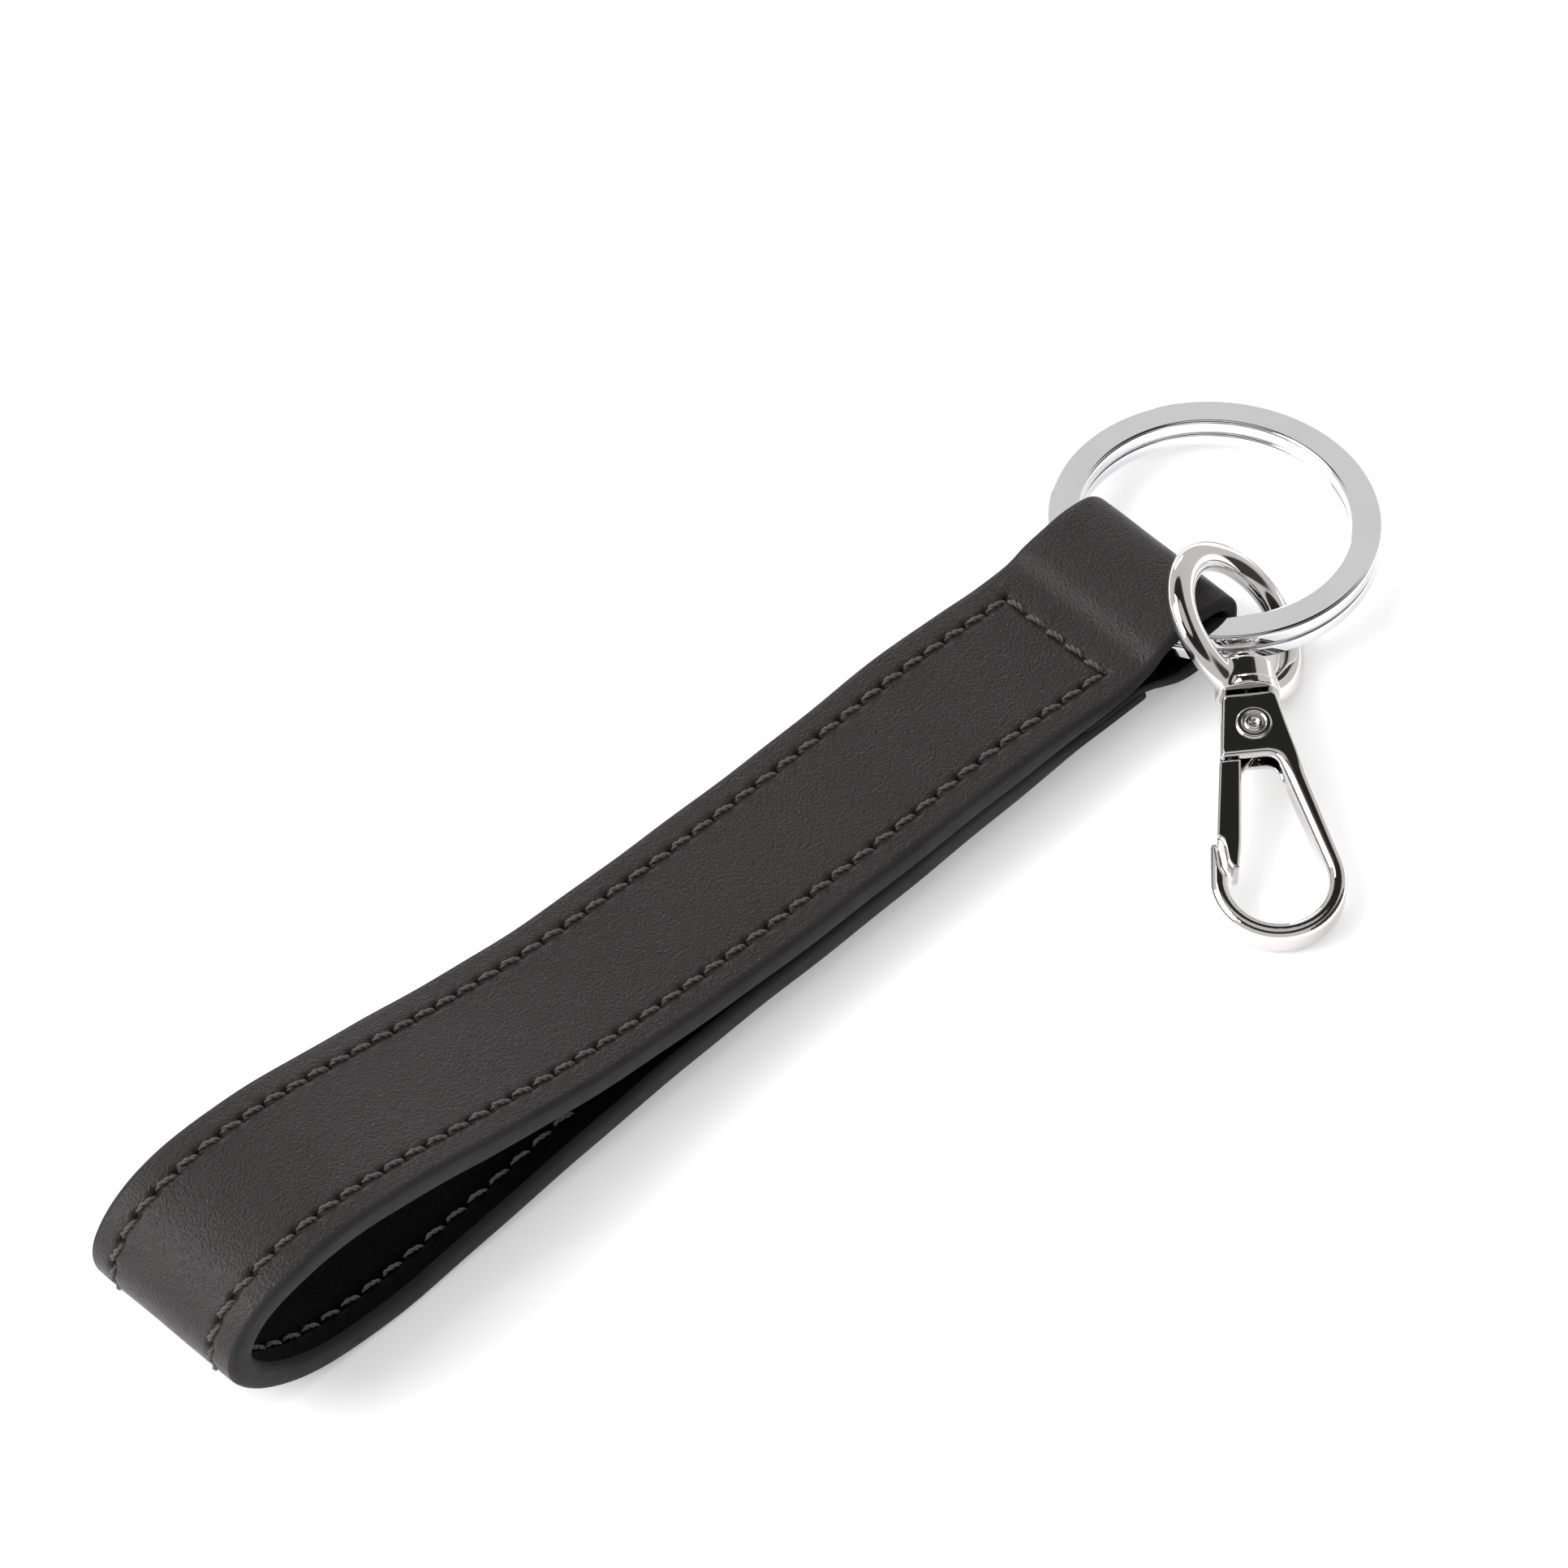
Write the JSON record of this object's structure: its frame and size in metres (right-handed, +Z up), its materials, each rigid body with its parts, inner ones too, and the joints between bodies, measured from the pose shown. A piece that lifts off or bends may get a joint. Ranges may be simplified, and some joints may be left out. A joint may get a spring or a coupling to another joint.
{
  "type": "wristlet keychain",
  "caption": "Folded and stitched leather wrist strap that holds a flat split ring, with a swivel snap hook hanging from the ring.",
  "frame": {"origin": "middle of the footprint, on the surface the keychain lies on", "axes": "+X along the strap from the wrist fold to the split ring, +Y across the strap, +Z up"},
  "size_m": [0.1544, 0.0558, 0.0197],
  "materials": {
    "leather_outer": "smooth, fine grain, low sheen",
    "leather_lining": "matte, fine grain",
    "reinforcing_tape": "woven, hidden",
    "thread": "twisted, waxed",
    "bobbin_thread": "twisted, waxed",
    "polished_steel": "polished",
    "nickel_plate": "polished plate",
    "spring_steel": "drawn wire"
  },
  "bodies": {
    "strap": {"outer_leather": "leather_outer", "lining_leather": "leather_lining", "core_tape": "reinforcing_tape", "keeper_tail": "leather_outer", "stitch_row_left": "thread", "stitch_row_right": "thread", "cross_stitching": "thread", "bobbin_row_left": "bobbin_thread", "bobbin_row_right": "bobbin_thread"},
    "keeper": {"keeper_leather": "leather_outer", "keeper_lining": "leather_lining"},
    "ring": {"split_ring": "polished_steel"},
    "eye": {"swivel_eye": "nickel_plate"},
    "hook": {"hook_body": "nickel_plate", "swivel_stem": "nickel_plate", "gate_rivet": "nickel_plate", "gate_spring": "spring_steel"},
    "gate_arm": {"gate": "nickel_plate"}
  },
  "joints": [
    {"name": "keeper_bend", "type": "hinge", "parent": "strap", "child": "keeper", "pos_m": [0.04255, 0.01184, 0.00542], "axis": [0, -1, 0], "range_deg": [-50, 45], "stiffness_Nm_per_rad": 0.02},
    {"name": "ring_turn", "type": "hinge", "parent": "keeper", "child": "ring", "pos_m": [0.0611, 0.01189, 0.00404], "axis": [0.0853, 0.0558, 0.9948], "range_deg": [0, 200]},
    {"name": "eye_swing", "type": "hinge", "parent": "ring", "child": "eye", "pos_m": [0.05391, 0.0011, 0.00501], "axis": [0.8301, -0.5562, -0.04], "range_deg": [0, 75]},
    {"name": "hook_swivel", "type": "hinge", "parent": "eye", "child": "hook", "pos_m": [0.05284, 0.00114, 0.00643], "axis": [-0.6087, -0.782, -0.134], "continuous": true},
    {"name": "gate_open", "type": "hinge", "parent": "hook", "child": "gate_arm", "pos_m": [0.0456, -0.00816, 0.00484], "axis": [-0.0823, -0.1057, 0.991], "range_deg": [0, 27], "stiffness_Nm_per_rad": 0.01, "springref_deg": -20.05}
  ]
}
